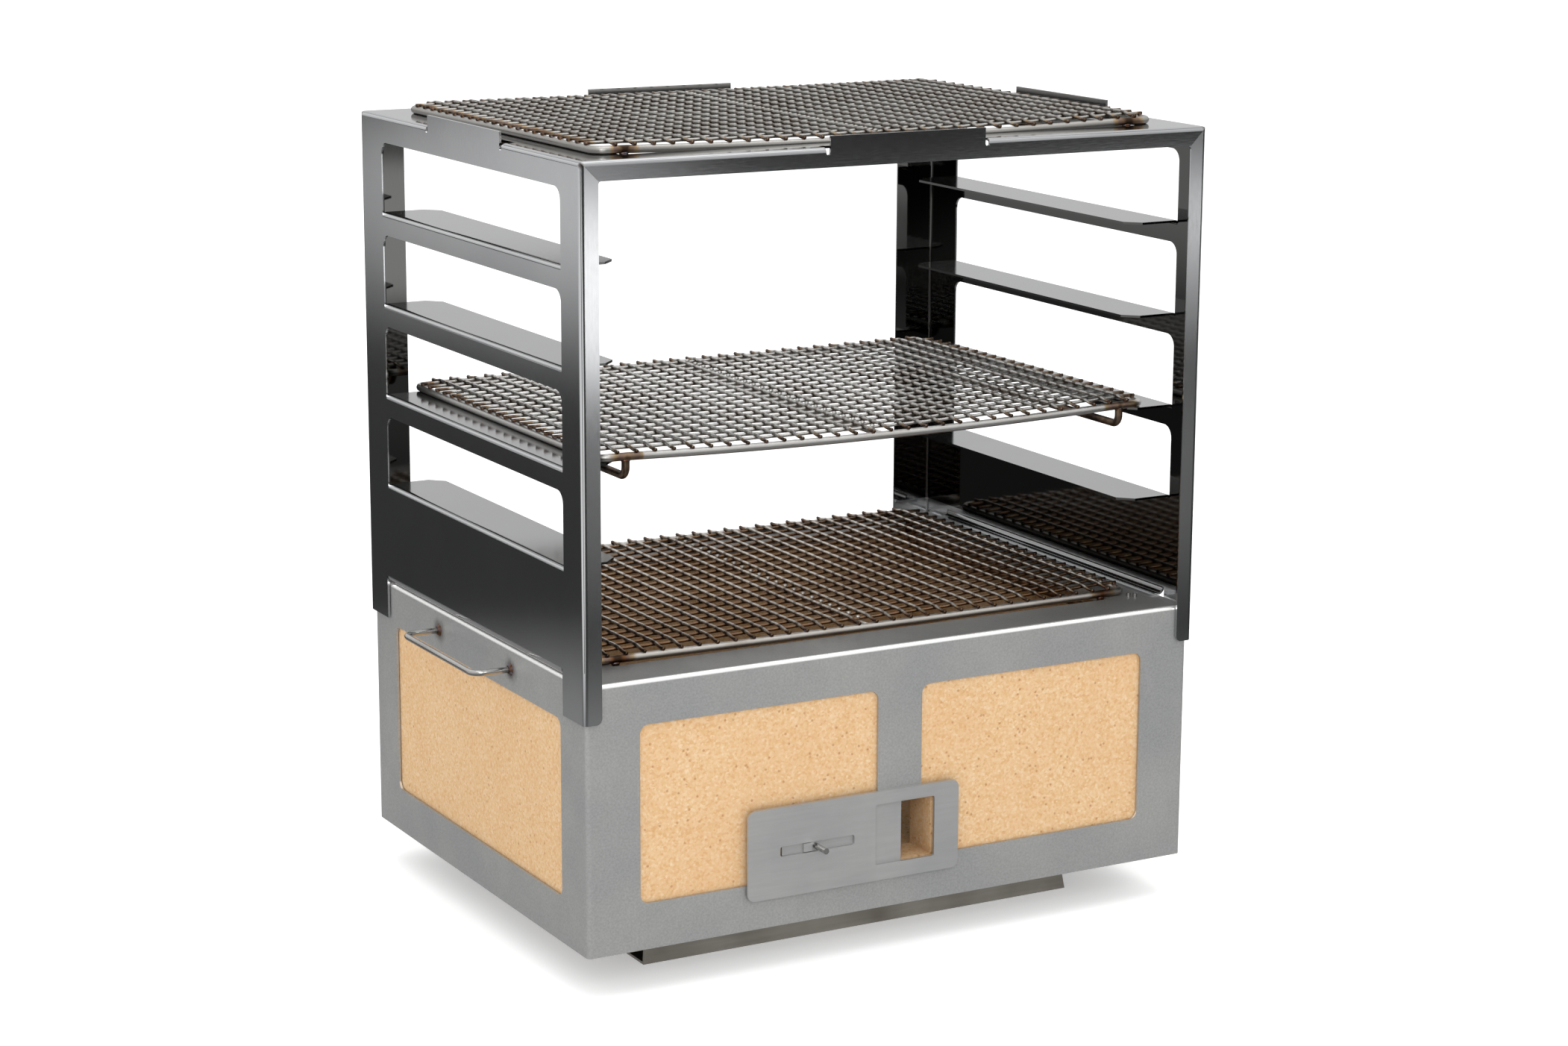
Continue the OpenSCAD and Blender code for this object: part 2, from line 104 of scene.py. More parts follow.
def heat_marks(tree, place, colour, centre_y, marks):
    """Ragged brown heat marks. marks: (x, y, z, radius) in metres, each with its mirror images
    in the planes x = 0 and y = centre_y."""
    parts = [add(tree, "SeparateXYZ", {0: place}, axis) for axis in range(3)]
    across = add(tree, "Math", {0: parts[1], 1: centre_y}, operation="SUBTRACT")
    folded = add(tree, "CombineXYZ", {
        0: add(tree, "Math", {0: parts[0]}, operation="ABSOLUTE"),
        1: add(tree, "Math", {0: across}, operation="ABSOLUTE"), 2: parts[2]})
    ragged = add(tree, "TexNoise", {"Vector": place, "Scale": 1000 / 7, "Detail": 3.0})
    for x, y, z, radius in marks:
        away = add(tree, "VectorMath", {0: folded, 1: (x, y, z)}, "Value", operation="DISTANCE")
        edge = add(tree, "Math", {0: ragged, 1: 0.6 * radius, 2: away}, operation="MULTIPLY_ADD")
        share = add(tree, "MapRange", {0: edge, 1: 1.2 * radius, 2: 0.4 * radius, 3: 0.0, 4: 0.8},
                    interpolation_type="SMOOTHSTEP")
        colour = add(tree, "Mix", {0: share, 6: colour, 7: HEATED}, 2, data_type="RGBA")
    return colour


def sheet_steel(name, tone, dark, rough, grain_mm, grain_depth_mm, grain_share, metal=1.0,
                stretch=(1, 1, 1), marks=(), centre_y=0.0, painted_fold_highlight=False, darkened_above=None):
    """Steel sheet: clouds between tone and dark, a fine grain longer along an axis whose stretch
    is above 1, heat marks, a painted highlight on the upward folds, and a darker colour on
    level faces high up."""
    material, tree, shader, place = begin(name)
    clouds = add(tree, "TexNoise", {"Vector": place, "Scale": 1000 / 60, "Detail": 3.0})
    share = add(tree, "MapRange", {0: clouds, 1: 0.35, 2: 0.65})
    colour = add(tree, "Mix", {0: share, 6: tone, 7: dark}, 2, data_type="RGBA")
    spot = add(tree, "Mapping", {"Vector": place, "Scale": [1 / s for s in stretch]})
    grain = add(tree, "TexNoise", {"Vector": spot, "Scale": 1000 / grain_mm, "Detail": 2.0})
    speck = add(tree, "MapRange", {0: grain, **SPREAD, 3: 1 - grain_share, 4: 1 + grain_share})
    grey = add(tree, "CombineColor", {0: speck, 1: speck, 2: speck})
    colour = add(tree, "Mix", {0: 1.0, 6: colour, 7: grey}, 2, data_type="RGBA", blend_type="MULTIPLY")
    if marks:
        colour = heat_marks(tree, place, colour, centre_y, marks)
    patches = add(tree, "MapRange", {0: clouds, **SPREAD, 3: 0.88 * rough, 4: 1.12 * rough})
    normal = add(tree, "TexCoord", {}, "Normal")
    level = add(tree, "SeparateXYZ", {0: normal}, 2)
    height = add(tree, "SeparateXYZ", {0: place}, 2)
    if painted_fold_highlight:
        # a fold is where the face leans: its upward part times its sideways part is largest there.
        # On the upward folds the colour is lightened to a painted highlight and the finish made
        # smoother.
        upright = add(tree, "Math", {0: level, 1: level, 2: -1.0}, operation="MULTIPLY_ADD")
        leaning = add(tree, "Math", {0: upright, 1: level}, operation="MULTIPLY")
        fold = add(tree, "MapRange", {0: leaning, 1: -0.12, 2: -0.3})
        colour = add(tree, "Mix", {0: fold, 6: colour, 7: "#f4f4f2"}, 2, data_type="RGBA")
        patches = add(tree, "Mix", {0: fold, 2: patches, 3: 0.24}, 0, data_type="FLOAT")
    # level faces high up get a darker colour
    if darkened_above is not None:
        flat = add(tree, "MapRange", {0: level, 1: 0.9, 2: 0.99})
        high_up = add(tree, "Math", {0: height, 1: darkened_above}, operation="GREATER_THAN")
        top_darkening = add(tree, "Math", {0: flat, 1: high_up}, operation="MULTIPLY")
        top_darkening = add(tree, "Math", {0: top_darkening, 1: TOP_DARK_SHARE}, operation="MULTIPLY")
        colour = add(tree, "Mix", {0: top_darkening, 6: colour, 7: TOP_DARK}, 2, data_type="RGBA")
    feed(tree, shader, {"Base Color": colour, "Metallic": metal, "Roughness": patches,
         "Normal": add(tree, "Bump", {"Height": grain, "Distance": grain_depth_mm * MM})})
    return material


def rack_steel(name, tone, dark, satin_rough, stretch):
    """Bright annealed sheet. Its outside is brushed to a satin, so reflections blur; the inside
    faces of the walls and flanges keep the mill's mirror, their colour darkened as painted shade.
    The level faces inside, the ledges' among them, are satin and darkened as painted shade too."""
    material, tree, shader, place = begin(name)
    low = np.minimum(*(box(n)[0] for n in RACK))
    high = np.maximum(*(box(n)[1] for n in RACK))
    skin = 0.75 * MM               # less than the sheet's thickness, so it parts the two faces
    foot_top = float(box_top + 9 * MM)
    centre = [(low[0] + high[0]) / 2, (low[1] + high[1]) / 2]
    parts = [add(tree, "SeparateXYZ", {0: place}, axis) for axis in range(3)]
    outside = add(tree, "Math", {0: parts[2], 1: float(rack_top - skin)}, operation="GREATER_THAN")
    for axis in (0, 1):
        away = add(tree, "Math", {0: parts[axis], 1: float(centre[axis])}, operation="SUBTRACT")
        away = add(tree, "Math", {0: away}, operation="ABSOLUTE")
        reach = float((high[axis] - low[axis]) / 2 - skin)
        beyond = add(tree, "Math", {0: away, 1: reach}, operation="GREATER_THAN")
        outside = add(tree, "Math", {0: outside, 1: beyond}, operation="MAXIMUM")
    slope = add(tree, "SeparateXYZ", {0: add(tree, "TexCoord", {}, "Normal")}, 2)
    level = add(tree, "Math", {0: add(tree, "Math", {0: slope}, operation="ABSOLUTE"), 1: 0.3},
                operation="GREATER_THAN")
    foot = add(tree, "Math", {0: parts[2], 1: foot_top}, operation="LESS_THAN")
    satin = add(tree, "Math", {0: outside, 1: level}, operation="MAXIMUM")
    satin = add(tree, "Math", {0: satin, 1: foot}, operation="MAXIMUM")
    clouds = add(tree, "TexNoise", {"Vector": place, "Scale": 1000 / 70, "Detail": 3.0})
    share = add(tree, "MapRange", {0: clouds, 1: 0.35, 2: 0.65, 3: 0.0, 4: 0.6})
    colour = add(tree, "Mix", {0: share, 6: tone, 7: dark}, 2, data_type="RGBA")
    # painted shade: the inside walls and flanges above the foot get a dark grey in place of the
    # sheet's tone
    colour = add(tree, "Mix", {0: satin, 6: "#575756", 7: colour}, 2, data_type="RGBA")
    # painted shade: level faces inside the rack are darkened towards a dark grey
    inner_level_shade = add(tree, "Math", {0: level, 1: outside}, operation="SUBTRACT", use_clamp=True)
    inner_level_shade = add(tree, "Math", {0: inner_level_shade, 1: 0.6}, operation="MULTIPLY")
    colour = add(tree, "Mix", {0: inner_level_shade, 6: colour, 7: "#555554"}, 2, data_type="RGBA")
    spot = add(tree, "Mapping", {"Vector": place, "Scale": [1 / s for s in stretch]})
    grain = add(tree, "TexNoise", {"Vector": spot, "Scale": 1000 / 1.1, "Detail": 2.0})
    corner = (float(high[0] - 1 * MM), float(high[1] - centre[1] - 1 * MM), float(rack_top - 2 * MM))
    colour = heat_marks(tree, place, colour, float(centre[1]), [(*corner, 3.2 * MM)])
    rough = add(tree, "Mix", {0: satin, 2: 0.05, 3: satin_rough}, 0, data_type="FLOAT")
    worn = add(tree, "MapRange", {0: grain, **SPREAD, 3: 0.9, 4: 1.12})
    rough = add(tree, "Math", {0: rough, 1: worn}, operation="MULTIPLY")
    depth = add(tree, "Math", {0: grain, 1: satin}, operation="MULTIPLY")
    feed(tree, shader, {"Base Color": colour, "Metallic": 1.0, "Roughness": rough,
         "Normal": add(tree, "Bump", {"Height": depth, "Distance": 0.003 * MM})})
    return material


def wire_steel(name, tone, brown, weld_lines, rough, stained, crossings=None):
    """Drawn stainless wire. weld_lines: (axis, centre, distance, reach) says that welds lie on
    both sides of centre along that axis; towards them the heat has tinted the wire straw, then
    violet, then brown. stained is the share of brown stain elsewhere. crossings: (axis, first,
    step) marks where the other wires are welded on, each with a small burnt spot."""
    material, tree, shader, place = begin(name)
    parts = [add(tree, "SeparateXYZ", {0: place}, axis) for axis in range(3)]
    ragged = add(tree, "TexNoise", {"Vector": place, "Scale": 1000 / 14, "Detail": 3.0})
    ragged = add(tree, "Math", {0: ragged, 1: 0.016, 2: -0.008}, operation="MULTIPLY_ADD")
    nearest = 1.0
    for axis, centre, distance, reach in weld_lines:
        away = add(tree, "Math", {0: parts[axis], 1: float(centre)}, operation="SUBTRACT")
        away = add(tree, "Math", {0: away}, operation="ABSOLUTE")
        away = add(tree, "Math", {0: away, 1: float(distance)}, operation="SUBTRACT")
        away = add(tree, "Math", {0: away}, operation="ABSOLUTE")
        away = add(tree, "Math", {0: away, 1: ragged}, operation="ADD")
        away = add(tree, "Math", {0: away, 1: 1 / reach}, operation="MULTIPLY")
        nearest = add(tree, "Math", {0: away, 1: nearest}, operation="MINIMUM")
    tint = add(tree, "ValToRGB", {0: nearest}, stops=[
        (0.0, "#33271f"), (0.25, brown), (0.5, "#77645c"), (0.75, "#9c8767"), (1.0, tone)])
    blotch = add(tree, "TexNoise", {"Vector": place, "Scale": 1000 / 38, "Detail": 3.0})
    share = add(tree, "MapRange", {0: blotch, 1: 0.45, 2: 0.7, 3: 0.15 * stained, 4: stained},
                interpolation_type="SMOOTHSTEP")
    colour = add(tree, "Mix", {0: share, 6: tint, 7: brown}, 2, data_type="RGBA")
    if crossings:
        axis, first, step = (float(value) for value in crossings)
        away = add(tree, "Math", {0: parts[int(axis)], 1: first}, operation="SUBTRACT")
        away = add(tree, "Math", {0: away, 1: step / 2}, operation="PINGPONG")
        burnt = add(tree, "MapRange", {0: away, 1: 2.8 * MM, 2: 1.1 * MM},
                    interpolation_type="SMOOTHSTEP")
        heat = add(tree, "MapRange", {0: blotch, 1: 0.35, 2: 0.6, 3: 0.45, 4: 0.9})
        burnt = add(tree, "Math", {0: burnt, 1: heat}, operation="MULTIPLY")
        colour = add(tree, "Mix", {0: burnt, 6: colour, 7: "#4d4035"}, 2, data_type="RGBA")
    fine = add(tree, "TexNoise", {"Vector": place, "Scale": 1000 / 1.2, "Detail": 2.0})
    worn = add(tree, "MapRange", {0: fine, **SPREAD, 3: 0.8 * rough, 4: 1.25 * rough})
    feed(tree, shader, {"Base Color": colour, "Metallic": 1.0, "Roughness": worn,
         "Normal": add(tree, "Bump", {"Height": fine, "Distance": 0.03 * MM})})
    return material


def weld_metal():
    """Weld metal: dark brown and blue patches on a rippled grey bead."""
    material, tree, shader, place = begin("stainless_weld_metal")
    patch = add(tree, "TexNoise", {"Vector": place, "Scale": 1000 / 2.5, "Detail": 3.0})
    colour = add(tree, "ValToRGB", {0: patch}, stops=[
        (0.3, "#2c211c"), (0.5, "#6b4a33"), (0.62, "#5c5a66"), (0.75, "#9a938a")])
    feed(tree, shader, {"Base Color": colour, "Metallic": 0.9, "Roughness": 0.38,
         "Normal": add(tree, "Bump", {"Height": patch, "Distance": 0.1 * MM})})
    return material


def vermiculite():
    """Pressed vermiculite board: tan, with close 1 to 2 mm flakes from cream to ginger, a few
    darker flecks, and a dull, slightly pitted face."""
    material, tree, shader, place = begin("vermiculite_board_pressed")
    flake = add(tree, "TexVoronoi", {"Vector": place, "Scale": 1000 / 1.5}, "Color")
    pick = [add(tree, "SeparateColor", {0: flake}, channel) for channel in range(2)]
    colour = add(tree, "ValToRGB", {0: pick[0]}, stops=[
        (0.0, "#c29868"), (0.2, "#cba679"), (0.55, "#d0af88"), (0.85, "#d4b793"), (1.0, "#d9c3a4")])
    soft = add(tree, "TexNoise", {"Vector": place, "Scale": 1000 / 2.4, "Detail": 4.0,
                                  "Roughness": 0.7})
    warm = add(tree, "ValToRGB", {0: soft}, stops=[
        (0.3, "#bf9264"), (0.5, "#cdab81"), (0.7, "#d7c09f")])
    colour = add(tree, "Mix", {0: 0.4, 6: colour, 7: warm}, 2, data_type="RGBA")
    fleck = {"Vector": place, "Scale": 1000 / 3.0}
    rare = add(tree, "SeparateColor", {0: add(tree, "TexVoronoi", fleck, "Color")}, 1)
    rare = add(tree, "MapRange", {0: rare, 1: 0.95, 2: 0.96})
    near = add(tree, "MapRange", {0: add(tree, "TexVoronoi", fleck, "Distance"), 1: 0.38, 2: 0.2})
    share = add(tree, "Math", {0: rare, 1: near}, operation="MULTIPLY")
    share = add(tree, "Math", {0: share, 1: 0.6}, operation="MULTIPLY")
    colour = add(tree, "Mix", {0: share, 6: colour, 7: "#966539"}, 2, data_type="RGBA")
    cloud = add(tree, "TexNoise", {"Vector": place, "Scale": 1000 / 45, "Detail": 2.0})
    cloud = add(tree, "MapRange", {0: cloud, 1: 0.35, 2: 0.7, 3: 0.0, 4: 0.2})
    colour = add(tree, "Mix", {0: cloud, 6: colour, 7: "#c49669"}, 2, data_type="RGBA")
    face = add(tree, "Math", {0: pick[1], 1: 0.35, 2: soft}, operation="MULTIPLY_ADD")
    feed(tree, shader, {"Base Color": colour, "Roughness": 0.92, "Specular IOR Level": 0.15,
         "Normal": add(tree, "Bump", {"Height": face, "Distance": 0.35 * MM})})
    return material


RACK = ("rack_left_panel", "rack_right_panel")
TAB_RISE = 7 * MM
rack_top = float(box("rack_top_panel")[1][2]) - TAB_RISE
box_top = float(box("casing")[1][2])
handle_low, handle_high = box("handle_left")
centre_y = float((handle_high[1] + handle_low[1]) / 2)
ROD_WELD_IN = 2 * MM
handle_weld = (float(abs(handle_high[0])),
               float((handle_high[1] - handle_low[1]) / 2 - ROD_WELD_IN),
               float((handle_low[2] + handle_high[2]) / 2))

# Stainless sheet blasted with fine glass beads: an even, soft grey with a sandy grain, a
# painted highlight on its upward folds and darker level faces at the top.
blasted = sheet_steel("stainless_bead_blasted", "#b2b2b0", "#a5a6a6", 0.46, 1.3, 0.08, 0.1, 0.6,
                      marks=[(*handle_weld, 12 * MM)], centre_y=centre_y, painted_fold_highlight=True,
                      darkened_above=box_top - 1 * MM)
# The vent's plates are the same steel left as rolled: smoother, with long faint streaks.
rolled = sheet_steel("stainless_satin_rolled", "#b9b9b8", "#abacac", 0.38, 2.2, 0.01, 0.03, 0.6,
                     stretch=(12, 1, 1))
# Bright annealed stainless, lightly brushed outside: as light or dark as what it faces, with
# painted shade darkening its inside faces.
bright = rack_steel("stainless_bright_annealed", "#cdcecf", "#c2c3c5", 0.12, (1, 1, 6))
# The same sheet, a little smoother, with its grain along the front, and darker as painted shade.
shaded_top = rack_steel("stainless_bright_cross_grain_shaded", "#adaeaf", "#a3a4a6", 0.07, (6, 1, 1))
# Mill finish stainless for the pan and feet: a little warmer than the box, with rolling marks.
mill = sheet_steel("stainless_mill_finish", "#b3aea5", "#928c83", 0.34, 3.0, 0.02, 0.06,
                   stretch=(14, 1, 1))
# Drawn stainless rod: smooth, with narrow highlights, browned where it is welded on.
drawn = sheet_steel("stainless_drawn_rod", "#c2c1bf", "#a5a3a0", 0.2, 1.5, 0.01, 0.05,
                    marks=[(*handle_weld, 9 * MM)], centre_y=centre_y)
# Hot rolled bar for the charcoal grate: rough, brown-black scale.
scaled = sheet_steel("mild_steel_fire_scaled", "#4b4440", "#2a2725", 0.6, 2.0, 0.12, 0.1)
# Weld metal: small dark beads with a brown and blue bloom.
weld = weld_metal()
# Pressed vermiculite: warm tan, speckled like cork.
board = vermiculite()


def dress(material, *names):
    """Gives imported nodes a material."""
    for name in names:
        mesh = NODES[name].data
        mesh.materials.clear()
        mesh.materials.append(material)


dress(blasted, "casing")
dress(mill, "casing_floor", "foot_rail_front", "foot_rail_back")
dress(board, "liner_floor", "liner_front", "liner_back", "liner_left", "liner_right")
dress(drawn, "handle_left", "handle_right", "net_stop_pins", "vent_pin")
dress(weld, "handle_welds")
dress(rolled, "vent_guides", "vent_cover", "vent_shutter")
dress(scaled, "charcoal_grate_frame", "charcoal_grate_bars", "charcoal_grate_legs")
dress(bright, *RACK)
dress(shaded_top, "rack_top_panel")

# ---------------------------------------------------------------- wire nets

def piece(name, vertices, faces, material, body, slot, *replaced):
    """Makes a smooth-shaded mesh piece, hangs it on its body and hides the imported nodes it stands
    for.
    """
    mesh = bpy.data.meshes.new(name)
    mesh.from_pydata(vertices.reshape(-1, 3).tolist(), [], faces)
    mesh.materials.append(material)
    mesh.polygons.foreach_set("use_smooth", [True] * len(mesh.polygons))
    mesh.update()
    made = bpy.data.objects.new(name, mesh)
    bpy.context.scene.collection.objects.link(made)
    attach(made, body)
    if replaced:
        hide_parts(*replaced)
    return made


def tube_faces(count, rows, ring, closed=False):
    """Quads of count tubes, each rows rings long and ring points round. An open tube gets end
    caps; a closed one runs back into its first ring."""
    start = (np.arange(count) * rows * ring)[:, None, None]
    row = np.arange(rows if closed else rows - 1)[None, :, None]
    k = np.arange(ring)[None, None, :]
    here, ahead = row * ring, (row + 1) % rows * ring
    corners = [start + here + k, start + here + (k + 1) % ring,
               start + ahead + (k + 1) % ring, start + ahead + k]
    quads = np.stack(np.broadcast_arrays(*corners), -1).reshape(-1, 4).tolist()
    if closed:
        return quads
    first = (start[:, :, 0] + np.arange(ring)[None, ::-1]).tolist()
    last = (start[:, :, 0] + (rows - 1) * ring + np.arange(ring)[None, :]).tolist()
    return quads + first + last


def tubes(paths, radius, ring, closed=False):
    """Round rods along paths (count, rows, 3): path + r (cos t side + sin t normal), where side
    is level and square to the path, and normal is square to both."""
    if closed:
        along = np.roll(paths, -1, axis=1) - np.roll(paths, 1, axis=1)
    else:
        along = np.gradient(paths, axis=1)
    along /= np.linalg.norm(along, axis=2, keepdims=True)
    side = np.cross(along, [0.0, 0.0, 1.0])
    side /= np.linalg.norm(side, axis=2, keepdims=True)
    normal = np.cross(side, along)
    t = np.linspace(0, 2 * np.pi, ring, endpoint=False)[:, None]
    skin = np.cos(t) * side[:, :, None, :] + np.sin(t) * normal[:, :, None, :]
    return paths[:, :, None, :] + radius * skin, tube_faces(len(paths), paths.shape[1], ring, closed)


CAD_WIRE_R = 1.0 * MM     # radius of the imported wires
WIRE_R = 1.1 * MM         # drawn a little fuller, so the mesh looks as close as it should
LAYER = 0.8 * MM          # the long wires lie this far above the mesh's middle, the cross wires below
SET_DOWN = 0.12 * MM      # at a weld each wire is pressed this far towards the other
STEPS = 6                 # rings from one crossing to the next


def welded_paths(across, reach, crossings, axis, side, middle, landing, dip):
    """Centre lines of the mesh wires running along axis. Between its first and last crossing a
    wire's height is middle + side (layer - set_down cos(2 pi n)), n counted from crossing to
    crossing, side 1 above and -1 below; past them it runs smoothly to the landing height on the
    frame. The whole net then follows dip(x, y)."""
    step = crossings[1] - crossings[0]
    rows = int(round((reach[1] - reach[0]) / step * STEPS)) + 1
    s = np.linspace(reach[0], reach[1], rows)
    n = (s - crossings[0]) / step
    inner = np.clip(n, 0, len(crossings) - 1)
    wave = middle + side * (LAYER - SET_DOWN * np.cos(2 * np.pi * inner))
    out = np.clip(np.abs(n - inner) / 0.8, 0, 1)
    out = out * out * (3 - 2 * out)
    z = wave + (landing - wave) * out
    a, b, z = np.broadcast_arrays(np.asarray(across)[:, None], s[None, :], z[None, :])
    x, y = (a, b) if axis == 1 else (b, a)
    return np.stack([x, y, z + dip(x, y)], -1)


def rounded_loop(low, high, corner, spacing, dip):
    """Rectangle with round corners at the middle height of a box: arcs of the corner radius and
    straight runs cut every spacing metres, following dip(x, y)."""
    arc = np.linspace(0, np.pi / 2, 9)
    points = np.zeros((0, 2))
    corners = [(high[0], high[1]), (low[0], high[1]), (low[0], low[1]), (high[0], low[1])]
    for turn, (x, y) in enumerate(corners):
        inward = np.array([-1 if x == high[0] else 1, -1 if y == high[1] else 1])
        bend = arc + turn * np.pi / 2
        round_it = np.stack([np.cos(bend), np.sin(bend)], -1)
        curve = np.array([x, y]) + corner * inward + corner * round_it
        if len(points):
            points = np.vstack([points, between(points[-1], curve[0], spacing)])
        points = np.vstack([points, curve])
    points = np.vstack([points, between(points[-1], points[0], spacing)])
    z = (low[2] + high[2]) / 2 + dip(points[:, 0], points[:, 1])
    return np.column_stack([points, z])[None]


def between(a, b, spacing):
    """Points on the straight line from a to b, about spacing apart, without its two ends."""
    count = max(2, int(np.linalg.norm(b - a) / spacing))
    return a + np.linspace(0, 1, count + 1)[1:-1, None] * (b - a)


def beads(points, radii, rows=5, ring=8):
    """Small closed weld beads: p + (rx cos u cos v, ry sin u cos v, rz sin v) at each point."""
    points = np.asarray(points, float)
    radii = np.broadcast_to(np.asarray(radii, float), points.shape)
    v = np.linspace(-1.45, 1.45, rows)
    u = np.linspace(0, 2 * np.pi, ring, endpoint=False)
    unit = np.stack([np.cos(v)[:, None] * np.cos(u), np.cos(v)[:, None] * np.sin(u),
                     np.sin(v)[:, None] * np.ones(ring)], -1)
    skin = points[:, None, None, :] + radii[:, None, None, :] * unit
    return skin, tube_faces(len(points), rows, ring)


RUNNER_X = 179.5 * MM     # the runners lie this far from the net's middle
FREE_SHARE = 0.9          # the bars are carried at their ends past this share of their half length
CORNER = 8 * MM           # bend of the frame rod's centre line
LONG_WIRES, CROSS_WIRES = 30, 22
MESH_RISE = 1.5 * MM      # the mesh's middle lies this far above the frame rod
END_HEAT = 7 * MM         # how far the wires are tinted from the frame
RUNNER_HEAT = 12 * MM     # how far the frame is tinted from the runners
END_WELD = np.array([1.5, 1.5, 0.9]) * MM       # half sizes of the beads
ROD_WELD = np.array([3.0, 2.2, 1.8]) * MM
CENTRE_WELD = np.array([1.9, 1.3, 1.2]) * MM
WELD_SCATTER = 0.12 * MM


def net(body, bar_sag, long_tone, cross_tone, brown, stained):
    """One net: a bent frame with a centre rod, long wires welded across the cross wires, and
    a weld bead where each wire lands on the frame."""
    low, high = box(body + "_frame")
    rod = (high[2] - low[2]) / 2
    centre, half = (low + high) / 2, (high - low) / 2
    long_low, long_high = box(body + "_long_wires")
    cross_low, cross_high = box(body + "_cross_wires")
    xs = np.linspace(long_low[0] + CAD_WIRE_R, long_high[0] - CAD_WIRE_R, LONG_WIRES)
    ys = np.linspace(cross_low[1] + CAD_WIRE_R, cross_high[1] - CAD_WIRE_R, CROSS_WIRES)
    bars_x, bars_y = (low[0] + rod, high[0] - rod), (low[1] + rod, high[1] - rod)

    def dip(x, y):
        """The long bars bow down between their supports: the front one by bar_sag, the back one
        by a fifth of it."""
        u = np.clip((x - centre[0]) / half[0] / FREE_SHARE, -1, 1)
        front = np.clip((centre[1] - y) / half[1] * 0.5 + 0.5, 0, 1)
        return -bar_sag * (0.2 + 0.8 * front) * (1 - u * u)

    def mesh_dip(x, y):
        """The mesh also hangs a little between the bars, and is not quite even."""
        u, v = (x - centre[0]) / half[0], (y - centre[1]) / half[1]
        hang = 0.6 + 0.12 * np.sin(9 * u + 2 * v) * np.cos(5 * v)
        return dip(x, y) - hang * MM * np.clip(1 - u * u, 0, 1) * np.clip(1 - v * v, 0, 1)

    ends_y, ends_x = (1, centre[1], half[1] - rod, END_HEAT), (0, centre[0], half[0] - rod, END_HEAT)
    runners = (0, centre[0], RUNNER_X, RUNNER_HEAT)
    long_steel = wire_steel(body + "_long_wire_drawn", long_tone, brown, [ends_y], 0.3, stained,
                            (1, ys[0], ys[1] - ys[0]))
    cross_steel = wire_steel(body + "_cross_wire_drawn", cross_tone, brown, [ends_x], 0.3,
                             1.3 * stained, (0, xs[0], xs[1] - xs[0]))
    rods = wire_steel(body + "_rod_drawn", long_tone, brown, [runners], 0.36, 0.7 * stained)
    middle = high[2] + MESH_RISE
    landing = high[2] + 0.7 * WIRE_R

    paths = welded_paths(xs, (long_low[1], long_high[1]), ys, 1, 1, middle, landing, mesh_dip)
    mesh = tubes(paths, WIRE_R, 8)
    piece(body + "_mesh_long", *mesh, long_steel, body, "net_wire", body + "_long_wires")
    paths = welded_paths(ys, (cross_low[0], cross_high[0]), xs, 0, -1, middle, landing, mesh_dip)
    mesh = tubes(paths, WIRE_R, 8)
    piece(body + "_mesh_cross", *mesh, cross_steel, body, "net_wire", body + "_cross_wires")

    inset = rod * np.array([1, 1, 0])
    bent = tubes(rounded_loop(low + inset, high - inset, CORNER, 6 * MM, dip), rod, 14, True)
    piece(body + "_bent_frame", *bent, rods, body, "net_wire", body + "_frame")
    stiff_low, stiff_high = box(body + "_stiffener")
    stiff_r = (stiff_high[0] - stiff_low[0]) / 2
    y = np.linspace(bars_y[0], bars_y[1], 40)
    z = stiff_high[2] - stiff_r + mesh_dip(centre[0], y)
    line = np.column_stack([np.full(len(y), centre[0]), y, z])
    straight = tubes(line[None], stiff_r, 12)
    piece(body + "_centre_rod", *straight, rods, body, "net_wire", body + "_stiffener")
    dress(rods, body + "_runners")

    ends = np.array([(x, y) for y in bars_y for x in xs] + [(x, y) for x in bars_x for y in ys])
    ends = np.column_stack([ends, high[2] + 0.2 * MM + dip(ends[:, 0], ends[:, 1])])
    ends = ends + rng.normal(0, WELD_SCATTER, ends.shape)
    size = END_WELD * rng.uniform(0.8, 1.15, (len(ends), 1))
    piece(body + "_wire_welds", *beads(ends, size), weld, body, "net_wire")
    rod_ends = (bars_y[0] + rod, bars_y[1] - rod)
    spots = [(centre[0], y, centre[2] + dip(centre[0], y)) for y in rod_ends]
    spots += [(side * RUNNER_X + centre[0], bars_y[0], low[2]) for side in (-1, 1)]
    piece(body + "_rod_welds", *beads(spots, ROD_WELD, 9, 14), weld, body, "net_wire")
    dots = [np.full(CROSS_WIRES, centre[0]), ys, middle + mesh_dip(centre[0], ys)]
    dots = beads(np.column_stack(dots), CENTRE_WELD)
    piece(body + "_centre_welds", *dots, rods, body, "net_wire")


# The middle and top nets are the same drawn wire: the middle net's lighter tones and the top net's
# darker ones are painted light and shade.
net("lower_net", 1.0 * MM, "#c2beb8", "#8f7259", "#6a4a30", 0.5)
net("middle_net", 3.5 * MM, "#c6c5c2", "#cfcecb", "#8a7460", 0.22)
net("top_net", 2.5 * MM, "#a3a19d", "#a8a6a2", "#6f5b47", 0.2)

# ---------------------------------------------------------------- floor, light and camera

STAGE_HALF = 40.0


def stage_plane(name, height, material):
    """A flat square centred on the grill."""
    corners = np.array([(-1, -1), (1, -1), (1, 1), (-1, 1)], float) * STAGE_HALF
    mesh = bpy.data.meshes.new(name)
    mesh.from_pydata([(x, y, height) for x, y in corners], [], [(0, 1, 2, 3)])
    mesh.materials.append(material)
    made = bpy.data.objects.new(name, mesh)
    bpy.context.scene.collection.objects.link(made)
    return made


paper, tree, shader, place = begin("studio_paper_white")
feed(tree, shader, {"Base Color": "#f4f4f4", "Roughness": 0.9, "Specular IOR Level": 0.1,
                    "Emission Color": "#ffffff", "Emission Strength": 0.35})
floor = stage_plane("studio_floor", 0.0, paper)
floor.visible_glossy = False

